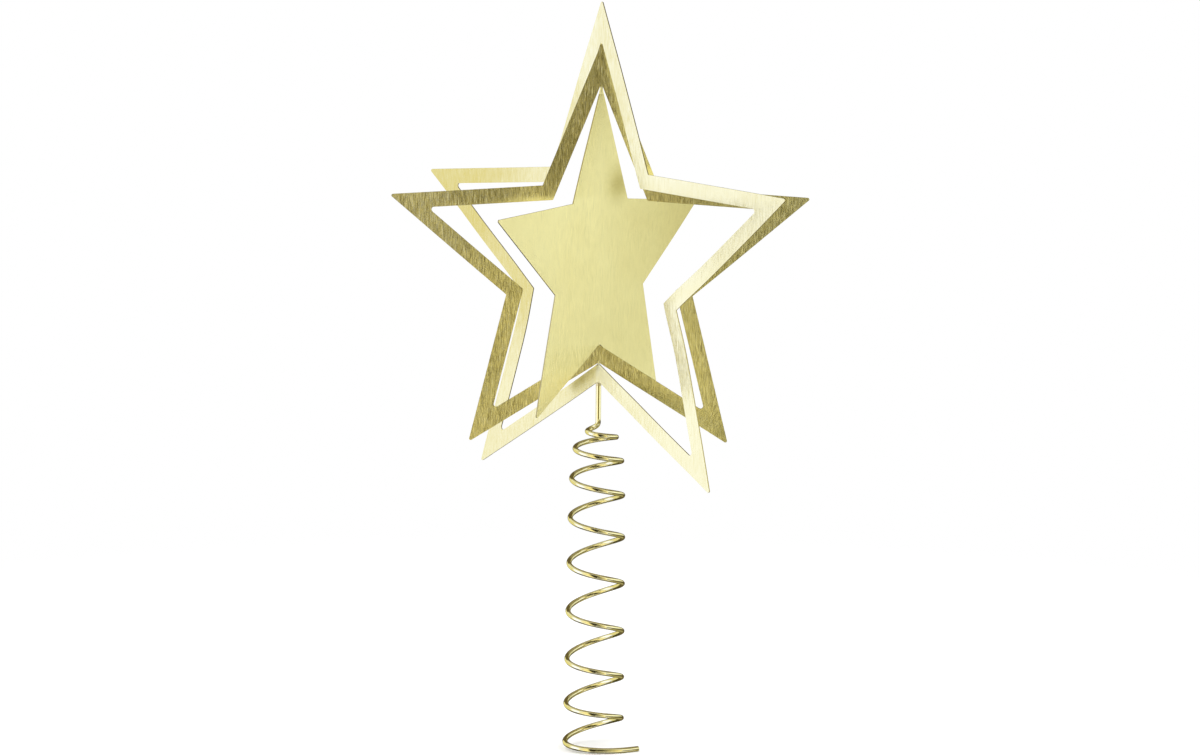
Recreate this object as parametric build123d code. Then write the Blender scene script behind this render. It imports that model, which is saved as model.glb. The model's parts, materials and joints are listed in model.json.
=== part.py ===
from build123d import *
import math
import os

# Tree topper: three nested five-point stars cut from one brass sheet, twisted open about the
# upright axis, on a wire whose stem runs down into an open coil that slips over a tree's leader.
# Lengths are millimetres and angles degrees. The origin is the centre of the coil's mouth, +Z is
# up, the middle star faces -Y and +X is to the right of someone looking at it.

# Star blank
star_radius = 101.0  # tip circle of the outer star, before its points are rounded
notch_share = 0.4416  # notch circle as a share of the tip circle
star_points = 5
bar_width = 5.8  # bar of an open star, square to its edge
cut_gap = 0.3  # slit that the cutter leaves between two nested stars
sheet_thickness = 0.5
tip_round = 0.6  # rounding of the outer points of each star
opening_round = 1.0  # rounding of the points of each opening

# Turn of each star about the upright axis, seen from above
outer_angle = -45.0
middle_angle = 0.0
inner_angle = 54.4

# Twist tabs that hold one star in the next
tab_width = 1.2
tab_root_width = 2.6  # where the tab runs into the tip of the star that it carries
tab_clearance = 0.3  # beside a tab, so that it can twist
tab_relief = 0.6  # slot into the notch above a lower tab
tab_step_angle = 12.0  # most twist between two sections of a tab

# Wire
wire_diameter = 2.0
straight_length = 13.5  # upright run from the outer star down to the coil's first bend
coil_turns = 8.57
coil_start_angle = 66.0
coil_top_radius = 9.67  # centre line, once the coil has opened out
coil_mouth_radius = 10.9
opening_turns = 0.64  # how soon the coil opens out from the stem
pitch_at_stem = 2.1
pitch_at_widest = 18.8
turns_to_widest = 5.28
crank_height = 3.8  # extra fall of the bend from the stem into the first turn
crank_turns = 0.35
lean_height = 1.44  # how far the last turn leans to one side
lean_angle = -33.7
tail_drop = 0.4
tail_length = 16.0
tail_radius = 30.0
biarcs_per_turn = 4
slope_step_share = 0.0001  # of a turn, for the direction of the wire
points_per_arc = 6  # for measuring the gap between turns

# Braze where the stem meets the outer star
bead_width = 0.5  # stands out round the wire
bead_height = 1.1
bead_clearance = 0.05  # between the bead, which moves with the star, and the wire

# Directions in a star
half_step = 180 / star_points
notch_x_share = notch_share * math.sin(math.radians(half_step))
notch_fall_share = 1 - notch_share * math.cos(math.radians(half_step))
edge_share = notch_x_share / math.hypot(notch_x_share, notch_fall_share)
tip_slope = notch_fall_share / notch_x_share
leg_fall_share = math.cos(math.radians(half_step)) - notch_share
crotch_slope = leg_fall_share / math.sin(math.radians(half_step))

# Nested contours, each given by its tip circle
bar_radius = bar_width / edge_share
gap_radius = cut_gap / edge_share
outer_opening_radius = star_radius - bar_radius
middle_radius = outer_opening_radius - gap_radius
middle_opening_radius = middle_radius - bar_radius
inner_radius = middle_opening_radius - gap_radius
tab_flat = tab_width + 2 * tab_clearance

wire_radius = wire_diameter / 2


def coil_drop(turn):
    """Fall of the wire's centre line below the foot of the stem, without the turns' lean."""
    reach = (turn - turns_to_widest) / turns_to_widest
    narrowing = (pitch_at_widest - pitch_at_stem) * turns_to_widest / 3 * (reach**3 + 1)
    crank = min(turn / crank_turns, 1)
    return pitch_at_widest * turn - narrowing + crank_height * (1 - (1 - crank) ** 2)


def coil_angle(turn):
    """Angle of the wire about the axis, in radians, for a count of turns below the stem."""
    return math.radians(coil_start_angle + 360 * turn)


def coil_lean(turn):
    """Rise of the wire on the side that the turns lean away from."""
    return lean_height * turn / coil_turns * math.cos(coil_angle(turn) - math.radians(lean_angle))


foot_height = wire_radius + tail_drop + coil_drop(coil_turns) - coil_lean(coil_turns)
seat_height = foot_height + straight_length
stem_foot_height = foot_height + wire_diameter
notch_height = star_radius * notch_share + wire_radius * crotch_slope
star_height = seat_height + notch_height


def coil_point(turn):
    """Point on the wire's centre line, for a count of turns below the stem."""
    full_radius = coil_top_radius + (coil_mouth_radius - coil_top_radius) * turn / coil_turns
    radius = full_radius * (1 - math.exp(-turn / opening_turns))
    angle = coil_angle(turn)
    height = foot_height - coil_drop(turn) + coil_lean(turn)
    return Vector(radius * math.cos(angle), radius * math.sin(angle), height)


def coil_direction(turn):
    """Direction of the wire, going down."""
    before = coil_point(turn - slope_step_share)
    after = coil_point(turn + slope_step_share)
    return (after - before).normalized()


def biarc(start, start_direction, end, end_direction):
    """Two tangent arcs from one point and direction to another."""
    chord = end - start
    both = start_direction + end_direction
    spread = 2 * (1 - start_direction.dot(end_direction))
    along = chord.dot(both)
    reach = (math.sqrt(along**2 + spread * chord.dot(chord)) - along) / spread
    first_corner = start + start_direction * reach
    second_corner = end - end_direction * reach
    middle = (first_corner + second_corner) / 2
    middle_direction = (second_corner - first_corner).normalized()
    first = TangentArc(start, middle, tangent=start_direction)
    second = TangentArc(middle, end, tangent=middle_direction)
    return [first, second]


def wire_path():
    """Edges of the coil's centre line, from the straight run under the stem to the tail's end."""
    foot = Vector(0, 0, foot_height)
    edges = [Line(Vector(0, 0, stem_foot_height), foot)]
    spans = math.ceil(coil_turns * biarcs_per_turn)
    point = foot
    direction = Vector(0, 0, -1)
    for span in range(1, spans + 1):
        turn = coil_turns * span / spans
        next_point = coil_point(turn)
        next_direction = coil_direction(turn)
        edges += biarc(point, direction, next_point, next_direction)
        point = next_point
        direction = next_direction

    # The tail leaves the last turn on a wider arc and lies flat.
    angle = coil_angle(coil_turns)
    outward = Vector(math.cos(angle), math.sin(angle), 0)
    onward = Vector(-math.sin(angle), math.cos(angle), 0)
    sweep_angle = tail_length / tail_radius
    aside = outward * (-tail_radius * (1 - math.cos(sweep_angle)))
    tail_point = point + onward * (tail_radius * math.sin(sweep_angle)) + aside
    tail_point = Vector(tail_point.X, tail_point.Y, wire_radius)
    tail_direction = onward * math.cos(sweep_angle) - outward * math.sin(sweep_angle)
    edges += biarc(point, direction, tail_point, tail_direction)
    edges.append(Line(tail_point, tail_point + tail_direction * wire_diameter))
    return edges


def star_outline(tip_radius, top_flat, crotch_flat):
    """Corners of a star about its centre, with a flat across the top point and the crotch."""
    corners = []
    for step in range(2 * star_points):
        angle = math.radians(90 - half_step * step)
        if step == 0 and top_flat > 0:
            height = tip_radius - top_flat / 2 * tip_slope
            corners += [(-top_flat / 2, height), (top_flat / 2, height)]
        elif step == star_points and crotch_flat > 0:
            height = -tip_radius * notch_share - crotch_flat / 2 * crotch_slope
            corners += [(crotch_flat / 2, height), (-crotch_flat / 2, height)]
        else:
            radius = tip_radius if step % 2 == 0 else tip_radius * notch_share
            corners.append((radius * math.cos(angle), radius * math.sin(angle)))
    return corners


def star_face(tip_radius, top_flat, crotch_flat, corner_round):
    """Flat star whose whole points are rounded."""
    outline = make_face(Polyline(*star_outline(tip_radius, top_flat, crotch_flat), close=True))
    waist_radius = tip_radius * (1 + notch_share) / 2
    points = [
        corner
        for corner in outline.vertices()
        if math.hypot(corner.X, corner.Y) > waist_radius and (top_flat == 0 or abs(corner.X) > top_flat)
    ]
    return fillet(points, corner_round)


def carried_star_face(tip_radius):
    """Star that hangs in an opening: its top runs into a tab, and a slot takes the lower one."""
    face = star_face(tip_radius, tab_root_width, 0, tip_round)
    notch = -tip_radius * notch_share
    slot_foot = notch - tab_flat / 2 * crotch_slope
    slot_height = notch + tab_relief - slot_foot
    return face - Pos(0, slot_foot + slot_height / 2) * Rectangle(tab_flat, slot_height)


def opening_face(tip_radius):
    """Opening of a frame, with a flat seat for each tab."""
    return star_face(tip_radius, tab_flat, tab_flat, opening_round)


def star_sheet(face, angle):
    """Sheet of a star, stood upright on the axis and turned about it."""
    sheet = extrude(Plane.XZ * face, amount=sheet_thickness / 2, both=True)
    return Pos(0, 0, star_height) * Rot(0, 0, angle) * sheet


def twist_tab(low_height, low_width, low_angle, high_height, high_width, high_angle):
    """Strip twisted about the axis between two level ends."""
    steps = math.ceil(abs(high_angle - low_angle) / tab_step_angle)
    sections = []
    for step in range(steps + 1):
        share = step / steps
        height = low_height + (high_height - low_height) * share
        width = low_width + (high_width - low_width) * share
        angle = low_angle + (high_angle - low_angle) * share
        place = Pos(0, 0, star_height + height) * Rot(0, 0, angle)
        sections.append(place * Rectangle(width, sheet_thickness))
    return loft(sections, ruled=True)


def top_tab(opening_radius, frame_angle, carried_radius, carried_angle):
    """Tab from the top of an opening down to the top point of the star in it."""
    low = carried_radius - tab_root_width / 2 * tip_slope
    high = opening_radius - tab_flat / 2 * tip_slope
    return twist_tab(low, tab_root_width, carried_angle, high, tab_width, frame_angle)


def bottom_tab(opening_radius, frame_angle, carried_radius, carried_angle):
    """Tab from the crotch of an opening up into the slot of the star in it."""
    low = -opening_radius * notch_share - tab_flat / 2 * crotch_slope
    high = -carried_radius * notch_share + tab_relief
    return twist_tab(low, tab_width, frame_angle, high, tab_width, carried_angle)


def swept_wire(edges):
    """Round wire along a path of lines and arcs."""
    path = Wire(edges)
    start = path.position_at(0)
    section = Plane(origin=start, z_dir=path.tangent_at(0)) * Circle(wire_radius)
    return sweep(section, path=path)


def least_turn_gap(edges):
    """Least space between the wire and itself, measured on points at least half a turn apart."""
    points = [edge @ (step / points_per_arc) for edge in edges for step in range(points_per_arc)]
    apart = biarcs_per_turn * points_per_arc
    nearest = min(
        (points[first] - points[second]).length
        for first in range(len(points))
        for second in range(first + apart, len(points))
    )
    return nearest - wire_diameter


# Stars
outer_face = star_face(star_radius, 0, wire_diameter, tip_round) - opening_face(outer_opening_radius)
outer_star = star_sheet(outer_face, outer_angle)
middle_face = carried_star_face(middle_radius) - opening_face(middle_opening_radius)
middle_star = star_sheet(middle_face, middle_angle)
inner_star = star_sheet(carried_star_face(inner_radius), inner_angle)

# Tabs
outer_joint = (outer_opening_radius, outer_angle, middle_radius, middle_angle)
inner_joint = (middle_opening_radius, middle_angle, inner_radius, inner_angle)
outer_top_tab = top_tab(*outer_joint)
outer_bottom_tab = bottom_tab(*outer_joint)
inner_top_tab = top_tab(*inner_joint)
inner_bottom_tab = bottom_tab(*inner_joint)

# Wire, in the straight stem and the coil that it runs into
stem_length = seat_height - stem_foot_height
stem = Pos(0, 0, stem_foot_height + stem_length / 2) * Cylinder(wire_radius, stem_length)
coil_edges = wire_path()
coil_spring = swept_wire(coil_edges)

# Braze bead in the corner between the stem and the outer star
bead_foot = seat_height - bead_height
bead_cone = Pos(0, 0, bead_foot + bead_height / 2) * Cone(wire_radius, wire_radius + bead_width, bead_height)
bead_hole = Pos(0, 0, bead_foot + bead_height / 2) * Cylinder(wire_radius + bead_clearance, bead_height)
braze_bead = bead_cone - bead_hole - outer_star

nodes = {
    "outer_star": outer_star,
    "middle_star": middle_star,
    "inner_star": inner_star,
    "outer_top_tab": outer_top_tab,
    "outer_bottom_tab": outer_bottom_tab,
    "inner_top_tab": inner_top_tab,
    "inner_bottom_tab": inner_bottom_tab,
    "stem": stem,
    "coil_spring": coil_spring,
    "braze_bead": braze_bead,
}

os.makedirs("parts", exist_ok=True)
for name, shape in nodes.items():
    export_step(shape, f"parts/{name}.step")

arc_radii = [edge.radius for edge in coil_edges if edge.geom_type == GeomType.CIRCLE]
wire_volume = math.pi * wire_radius**2 * sum(edge.length for edge in coil_edges)
print(f"height of the stars' centre {star_height:.3f}, of the stem's foot {stem_foot_height:.3f}")
print(f"least gap between turns {least_turn_gap(coil_edges):.2f}, tightest arc {min(arc_radii):.2f}")
print(f"coil volume {coil_spring.volume:.2f}, section times length {wire_volume:.2f}")
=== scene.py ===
"""Looks of a tree topper: three nested brass stars on twist tabs, their wire stem and its coil.

Lengths are metres and angles degrees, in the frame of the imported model: the origin is the centre of
the coil's mouth, +Z is up, and the middle star faces -Y.
"""

import json
import logging
import math
from dataclasses import dataclass
from enum import Enum
from typing import Any, Sequence, Union

import bpy
from mathutils import Matrix, Vector
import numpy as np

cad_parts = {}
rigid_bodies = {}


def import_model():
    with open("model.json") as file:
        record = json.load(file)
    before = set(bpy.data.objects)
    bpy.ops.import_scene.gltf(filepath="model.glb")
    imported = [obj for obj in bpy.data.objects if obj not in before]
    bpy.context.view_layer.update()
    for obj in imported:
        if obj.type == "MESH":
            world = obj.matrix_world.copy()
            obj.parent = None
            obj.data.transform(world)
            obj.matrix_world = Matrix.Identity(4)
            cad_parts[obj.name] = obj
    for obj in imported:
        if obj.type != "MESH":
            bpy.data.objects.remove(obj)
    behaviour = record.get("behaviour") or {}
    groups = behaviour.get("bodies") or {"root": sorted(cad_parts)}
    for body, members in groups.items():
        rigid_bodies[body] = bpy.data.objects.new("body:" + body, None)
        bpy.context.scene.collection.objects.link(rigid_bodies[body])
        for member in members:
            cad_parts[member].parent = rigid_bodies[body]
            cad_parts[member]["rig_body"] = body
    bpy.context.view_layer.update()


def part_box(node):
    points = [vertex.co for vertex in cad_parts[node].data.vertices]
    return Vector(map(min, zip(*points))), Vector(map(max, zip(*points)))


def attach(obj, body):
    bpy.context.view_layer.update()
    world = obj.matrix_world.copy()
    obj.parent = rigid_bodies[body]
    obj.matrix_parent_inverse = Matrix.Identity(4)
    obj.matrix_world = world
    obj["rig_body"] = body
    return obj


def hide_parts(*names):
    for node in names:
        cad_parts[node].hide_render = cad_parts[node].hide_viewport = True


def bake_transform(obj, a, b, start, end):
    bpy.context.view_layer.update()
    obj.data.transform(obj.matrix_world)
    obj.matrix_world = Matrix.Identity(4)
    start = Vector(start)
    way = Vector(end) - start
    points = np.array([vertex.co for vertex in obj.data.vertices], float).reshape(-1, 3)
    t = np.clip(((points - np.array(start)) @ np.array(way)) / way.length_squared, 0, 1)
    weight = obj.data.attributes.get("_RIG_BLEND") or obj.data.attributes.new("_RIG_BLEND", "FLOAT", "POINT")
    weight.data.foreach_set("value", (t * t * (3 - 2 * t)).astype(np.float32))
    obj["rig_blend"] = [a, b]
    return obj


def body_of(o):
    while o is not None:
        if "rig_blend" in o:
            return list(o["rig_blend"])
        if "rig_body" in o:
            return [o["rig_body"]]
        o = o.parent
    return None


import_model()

FULL_TURN = 2 * math.pi
CREASE = math.radians(50.0)  # edges that turn further than this stay sharp

Colour = tuple[float, float, float]
Point = tuple[float, float, float]
Key = str | int
Stops = Sequence[tuple[float, Colour]]
Term = Union["Socket", float]

log = logging.getLogger("tree_topper")


class Socket:
    """An output of a node. Arithmetic on it adds Math nodes to its graph."""

    def __init__(self, graph: "NodeGraph", source: bpy.types.NodeSocket) -> None:
        """Keeps the graph and the output."""
        self.graph = graph
        self.source = source

    def beside(self, name: Key) -> "Socket":
        """Another output of the same node."""
        return Socket(self.graph, self.graph.find(self.source.node.outputs, name))

    def math(self, operation: str, *terms: Term) -> "Socket":
        """Result of a Math node on this value and the terms."""
        return self.graph.math(operation, self, *terms)

    def __add__(self, term: Term) -> "Socket":
        """This value plus a term."""
        return self.math("ADD", term)

    __radd__ = __add__

    def __sub__(self, term: Term) -> "Socket":
        """This value less a term."""
        return self.math("SUBTRACT", term)

    def __rsub__(self, term: float) -> "Socket":
        """A term less this value."""
        return self.graph.math("SUBTRACT", term, self)

    def __mul__(self, term: Term) -> "Socket":
        """This value times a term."""
        return self.math("MULTIPLY", term)

    __rmul__ = __mul__

    def __truediv__(self, term: Term) -> "Socket":
        """This value over a term."""
        return self.math("DIVIDE", term)

    def __pow__(self, power: Term) -> "Socket":
        """This value to a power."""
        return self.math("POWER", power)

    def __neg__(self) -> "Socket":
        """This value with its sign turned."""
        return self.math("MULTIPLY", -1.0)

    def least(self, term: Term) -> "Socket":
        """The smaller of this value and a term."""
        return self.math("MINIMUM", term)

    def most(self, term: Term) -> "Socket":
        """The larger of this value and a term."""
        return self.math("MAXIMUM", term)

    def sin(self) -> "Socket":
        """Sine of this angle in radians."""
        return self.math("SINE")

    def cos(self) -> "Socket":
        """Cosine of this angle in radians."""
        return self.math("COSINE")

    def exp(self) -> "Socket":
        """The natural base to the power of this value."""
        return self.math("EXPONENT")

    def toward(self, end: Term, share: Term) -> "Socket":
        """Value at a share of the way from this one to an end."""
        return self + (end - self) * share

    def eased(self) -> "Socket":
        """Smooth step of this share, which stays within 0 and 1."""
        share = self.most(0.0).least(1.0)
        return share * share * (3.0 - 2.0 * share)


class NodeGraph:
    """Adds nodes to one shader, world or geometry tree."""

    def __init__(self, tree: bpy.types.NodeTree) -> None:
        """Starts on a tree, whose own nodes are cleared away."""
        self.tree = tree
        tree.nodes.clear()

    @staticmethod
    def find(sockets: Sequence[bpy.types.NodeSocket], key: Key) -> bpy.types.NodeSocket:
        """Finds a socket.

        Args:
            sockets: Inputs or outputs of a node.
            key: Place of the socket, its identifier, or its name.

        Returns:
            The socket.
        """
        if isinstance(key, int):
            return sockets[key]
        by_identifier = [socket for socket in sockets if socket.identifier == key]
        by_name = [socket for socket in sockets if socket.name == key and socket.enabled]
        return (by_identifier + by_name)[0]

    def add(
        self,
        kind: str,
        settings: dict[str, Any] | None = None,
        sockets: dict[Key, Any] | None = None,
        result: Key = 0,
    ) -> Socket | None:
        """Adds a node.

        Args:
            kind: Type of the node.
            settings: Its own properties, set first. The key "stops" fills a colour ramp.
            sockets: Values or links of its inputs.
            result: The output that is handed back.

        Returns:
            That output, or None where the node has no outputs.
        """
        node = self.tree.nodes.new(kind)
        for name, value in (settings or {}).items():
            if name == "stops":
                self._fill_ramp(node.color_ramp, value)
            else:
                setattr(node, name, value)
        for key, value in (sockets or {}).items():
            target = self.find(node.inputs, key)
            if isinstance(value, Socket):
                self.tree.links.new(value.source, target)
            else:
                target.default_value = value
        if not node.outputs:
            return None
        return Socket(self, self.find(node.outputs, result))

    def math(self, operation: str, *terms: Term) -> Socket:
        """Result of a Math node on up to three terms."""
        return self.add("ShaderNodeMath", {"operation": operation}, dict(enumerate(terms)))

    def vector(self, operation: str, *terms: Any) -> Socket:
        """Result of a Vector Math node on up to three vectors."""
        return self.add("ShaderNodeVectorMath", {"operation": operation}, dict(enumerate(terms)))

    def join(self, x: Term, y: Term, z: Term) -> Socket:
        """Vector of three parts."""
        return self.add("ShaderNodeCombineXYZ", None, {"X": x, "Y": y, "Z": z})

    def mix(self, share: Term, first: Any, second: Any, blend: str = "MIX") -> Socket:
        """Mixes two colours.

        Args:
            share: Share of the second colour.
            first: The first colour.
            second: The second colour.
            blend: How the second colour works on the first.

        Returns:
            The mixed colour.
        """
        settings = {"data_type": "RGBA", "blend_type": blend}
        colours = {"Factor_Float": share, "A_Color": first, "B_Color": second}
        return self.add("ShaderNodeMix", settings, colours, "Result_Color")

    @staticmethod
    def _fill_ramp(ramp: bpy.types.ColorRamp, stops: Stops) -> None:
        """Sets the places and colours of a ramp's stops."""
        while len(ramp.elements) > len(stops):
            ramp.elements.remove(ramp.elements[-1])
        while len(ramp.elements) < len(stops):
            ramp.elements.new(1.0)
        for element, (place, colour) in zip(ramp.elements, stops):
            element.position = place
            element.color = (*colour, 1.0)


class GeometryTree(NodeGraph):
    """A Geometry Nodes tree with named inputs, run once to make a plain mesh."""

    def __init__(self, name: str, floats: Sequence[str], whole: Sequence[str] = ()) -> None:
        """Makes the tree and its inputs.

        Args:
            name: Name of the tree.
            floats: Names of its inputs that are lengths, angles or shares.
            whole: Names of its inputs that are counts.
        """
        super().__init__(bpy.data.node_groups.new(name, "GeometryNodeTree"))
        kinds = {"NodeSocketFloat": floats, "NodeSocketInt": whole, "NodeSocketMaterial": ["Finish"]}
        self.identifiers: dict[str, str] = {}
        for kind, names in kinds.items():
            for label in names:
                made = self.tree.interface.new_socket(label, in_out="INPUT", socket_type=kind)
                self.identifiers[label] = made.identifier
        self.tree.interface.new_socket("Mesh", in_out="OUTPUT", socket_type="NodeSocketGeometry")
        self._inputs = self.add("NodeGroupInput")

    def input(self, name: str) -> Socket:
        """One of the tree's named inputs."""
        return self._inputs.beside(name)

    def close(self, geometry: Socket) -> None:
        """Ends the tree: plain geometry, smooth, with the finish on it."""
        real = self.add("GeometryNodeRealizeInstances", None, {"Geometry": geometry})
        smooth = self.add("GeometryNodeSetShadeSmooth", None, {"Geometry": real})
        finish = {"Geometry": smooth, "Material": self.input("Finish")}
        dressed = self.add("GeometryNodeSetMaterial", None, finish)
        self.add("NodeGroupOutput", None, {0: dressed})

    def mesh(self, name: str, values: dict[str, Any]) -> bpy.types.Mesh:
        """Runs the tree.

        Args:
            name: Name of the mesh.
            values: Value of each named input.

        Returns:
            The result as a plain mesh.
        """
        holder = bpy.data.objects.new(name, bpy.data.meshes.new(name))
        bpy.context.scene.collection.objects.link(holder)
        modifier = holder.modifiers.new(self.tree.name, "NODES")
        modifier.node_group = self.tree
        for label, value in values.items():
            modifier[self.identifiers[label]] = value
        mesh = plain_mesh(holder)
        bpy.data.objects.remove(holder)
        return mesh


def input_label(size: str) -> str:
    """Label of the input that takes a size."""
    return size.replace("_", " ").title()


def new_material(name: str) -> tuple[bpy.types.Material, NodeGraph]:
    """New material, and the graph of its nodes."""
    material = bpy.data.materials.new(name)
    material.use_nodes = True
    return material, NodeGraph(material.node_tree)


def plain_mesh(holder: bpy.types.Object) -> bpy.types.Mesh:
    """Mesh of an object with its modifiers worked in."""
    bpy.context.view_layer.update()
    depsgraph = bpy.context.evaluated_depsgraph_get()
    return bpy.data.meshes.new_from_object(holder.evaluated_get(depsgraph))


def add_object(name: str, mesh: bpy.types.Mesh) -> bpy.types.Object:
    """Object at the origin that shows a mesh."""
    made = bpy.data.objects.new(name, mesh)
    mesh.name = name
    bpy.context.scene.collection.objects.link(made)
    return made


def lathe(
    name: str, profile: Sequence[tuple[float, float]], sides: int, material: bpy.types.Material
) -> bpy.types.Mesh:
    """Turns a profile about the upright axis.

    Args:
        name: Name of the mesh.
        profile: Radius and height of each ring, from the lowest to the highest.
        sides: Faces round the axis.
        material: Finish of the mesh.

    Returns:
        A mesh that is closed at both ends.
    """
    points = []
    for radius, height in profile:
        for side in range(sides):
            angle = FULL_TURN * side / sides
            points.append((radius * math.cos(angle), radius * math.sin(angle), height))
    faces = []
    for ring in range(len(profile) - 1):
        for side in range(sides):
            after = (side + 1) % sides
            low, high = ring * sides, (ring + 1) * sides
            faces.append((low + side, low + after, high + after, high + side))
    last = (len(profile) - 1) * sides
    faces.append(tuple(reversed(range(sides))))
    faces.append(tuple(range(last, last + sides)))
    mesh = bpy.data.meshes.new(name)
    mesh.from_pydata(points, [], faces)
    mesh.materials.append(material)
    mesh.shade_smooth()
    mesh.set_sharp_from_angle(angle=CREASE)
    return mesh


class Finish:
    """Metal finish. Each kind says what feeds the sockets of its shader."""

    name: str
    lattice_turn: Point = (0.5, 0.6, 0.7)  # radians, sets the noise's own grid askew so that it doesn't show
    noise_roughness: float = 0.6

    def sockets(self, graph: NodeGraph) -> dict[Key, Any]:
        """Values and links for the shader's sockets."""
        raise NotImplementedError

    def material(self) -> bpy.types.Material:
        """New material of this finish."""
        material, graph = new_material(self.name)
        surface = graph.add("ShaderNodeBsdfPrincipled", None, self.sockets(graph))
        graph.add("ShaderNodeOutputMaterial", None, {"Surface": surface})
        return material

    def streaks(self, graph: NodeGraph, place: Socket, width: float, length: float, detail: float) -> Socket:
        """Noise that is drawn out along the upright axis.

        Args:
            graph: Graph of the material.
            place: Place on the piece.
            width: Size of the noise across the axis.
            length: Size of the noise along it.
            detail: Finer layers of the noise.

        Returns:
            A value about one half.
        """
        scale = (1 / width, 1 / width, 1 / length)
        turned = {"Vector": place, "Rotation": self.lattice_turn, "Scale": scale}
        drawn = graph.add("ShaderNodeMapping", {"vector_type": "POINT"}, turned)
        noise = {"Vector": drawn, "Scale": 1.0, "Detail": detail, "Roughness": self.noise_roughness}
        return graph.add("ShaderNodeTexNoise", {"noise_dimensions": "3D"}, noise)


@dataclass(frozen=True)
class BrushedSheet(Finish):
    """Brass sheet that was brushed upright before its stars were cut out of it."""

    name: str = "brushed_brass"
    bright: Colour = (0.87, 0.825, 0.52)
    deep: Colour = (0.81, 0.745, 0.425)  # in the deeper scratches
    cut: Colour = (0.4, 0.34, 0.14)  # raw edge that the cutter left
    tarnish: Colour = (0.5, 0.46, 0.25)  # painted shade: what the darkest painted shade leaves of the face's colour
    hair_width: float = 0.00002
    hair_length: float = 0.004
    hair_lean: float = 1.6  # how far a hairline's side turns out of the sheet, for each unit of its noise
    scratch_lean: float = 1.0  # how much more its sides turn in the deeper scratches
    scratch_width: float = 0.0002
    scratch_length: float = 0.005
    scratch_shade: float = 0.4  # how far the scratches take the face's colour
    smudge_size: float = 0.03
    smudge_shade: float = 1.2
    roughness: float = 0.14
    roughness_spread: float = 0.1
    least_roughness: float = 0.08
    cut_roughness: float = 0.22
    edge_attribute: str = "cut_edge"
    # attribute that carries the painted shade of the star's shade spots
    painted_shade_attribute: str = "tarnish"
    place_attribute: str = "flat_place"  # on the sheet before its stars were turned out of it

    def sockets(self, graph: NodeGraph) -> dict[Key, Any]:
        """Scratches, hairlines and smudges of the sheet, its cut edges and its painted shade."""
        place = graph.add("ShaderNodeAttribute", {"attribute_name": self.place_attribute}, None, "Vector")
        hair = self.streaks(graph, place, self.hair_width, self.hair_length, 0.0)
        scratch = self.streaks(graph, place, self.scratch_width, self.scratch_length, 1.0)
        smudge = self.streaks(graph, place, self.smudge_size, self.smudge_size, 2.0)
        edge = graph.add("ShaderNodeAttribute", {"attribute_name": self.edge_attribute}, None, "Fac")
        shade = self.scratch_shade * (scratch - 0.5) + self.smudge_shade * (smudge - 0.5)
        depth = (0.5 + shade).most(0.0).least(1.0)
        face = graph.mix(depth, (*self.deep, 1.0), (*self.bright, 1.0))
        # Painted shade: the face is darkened where the star's shade spots lie, standing in for reflections
        painted_shade_share = graph.add("ShaderNodeAttribute", {"attribute_name": self.painted_shade_attribute}, None, "Fac")
        face = graph.mix(painted_shade_share, face, (*self.tarnish, 1.0), "MULTIPLY")
        colour = graph.mix(edge, face, (*self.cut, 1.0))
        sheen = (self.roughness + self.roughness_spread * (scratch - 0.5)).most(self.least_roughness)
        rough = sheen.toward(self.cut_roughness, edge)
        lean = self.hair_lean * (hair - 0.5) * (1.0 + self.scratch_lean * (scratch - 0.5)) * (1.0 - edge)
        square = graph.add("ShaderNodeNewGeometry", None, None, "Normal")
        across = graph.vector("NORMALIZE", graph.vector("CROSS_PRODUCT", (0.0, 0.0, 1.0), square))
        normal = graph.vector("NORMALIZE", graph.vector("MULTIPLY_ADD", across, lean, square))
        return {"Metallic": 1.0, "Base Color": colour, "Roughness": rough, "Normal": normal}


@dataclass(frozen=True)
class DrawnWire(Finish):
    """Brass wire, drawn smooth and handled a little."""

    name: str = "drawn_brass_wire"
    bright: Colour = (0.93, 0.89, 0.65)
    dull: Colour = (0.85, 0.79, 0.485)
    smudge_size: float = 0.008
    smudge_shade: float = 1.8
    roughness: float = 0.07
    roughness_spread: float = 0.06

    def sockets(self, graph: NodeGraph) -> dict[Key, Any]:
        """Faint smudges on the bright wire."""
        place = graph.add("ShaderNodeTexCoord", None, None, "Object")
        smudge = self.streaks(graph, place, self.smudge_size, self.smudge_size, 2.0)
        share = (0.5 + self.smudge_shade * (smudge - 0.5)).most(0.0).least(1.0)
        colour = graph.mix(share, (*self.dull, 1.0), (*self.bright, 1.0))
        rough = self.roughness + self.roughness_spread * (smudge - 0.5)
        return {"Metallic": 1.0, "Base Color": colour, "Roughness": rough}


@dataclass(frozen=True)
class BrazeMetal(Finish):
    """Run braze metal, paler than the brass and a little grainy."""

    name: str = "braze_metal"
    bright: Colour = (0.84, 0.78, 0.565)
    grey: Colour = (0.66, 0.58, 0.4)
    grain_size: float = 0.0005
    roughness: float = 0.3
    roughness_spread: float = 0.2
    grain_depth: float = 0.00004

    def sockets(self, graph: NodeGraph) -> dict[Key, Any]:
        """Grain of the metal where it cooled."""
        place = graph.add("ShaderNodeTexCoord", None, None, "Object")
        grain = self.streaks(graph, place, self.grain_size, self.grain_size, 3.0)
        colour = graph.mix(grain, (*self.grey, 1.0), (*self.bright, 1.0))
        rough = self.roughness + self.roughness_spread * (grain - 0.5)
        relief = {"Strength": 1.0, "Distance": self.grain_depth, "Height": grain}
        normal = graph.add("ShaderNodeBump", None, relief)
        return {"Metallic": 1.0, "Base Color": colour, "Roughness": rough, "Normal": normal}


class Slot(Enum):
    """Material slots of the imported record."""

    SHEET = "brushed_brass_sheet"
    WIRE = "brass_wire"
    BRAZE = "braze"


class Cut(Enum):
    """How a corner of a star's outline is finished."""

    ROUND = "round"
    FLAT = "flat"
    NOTCHED = "notched"


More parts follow.
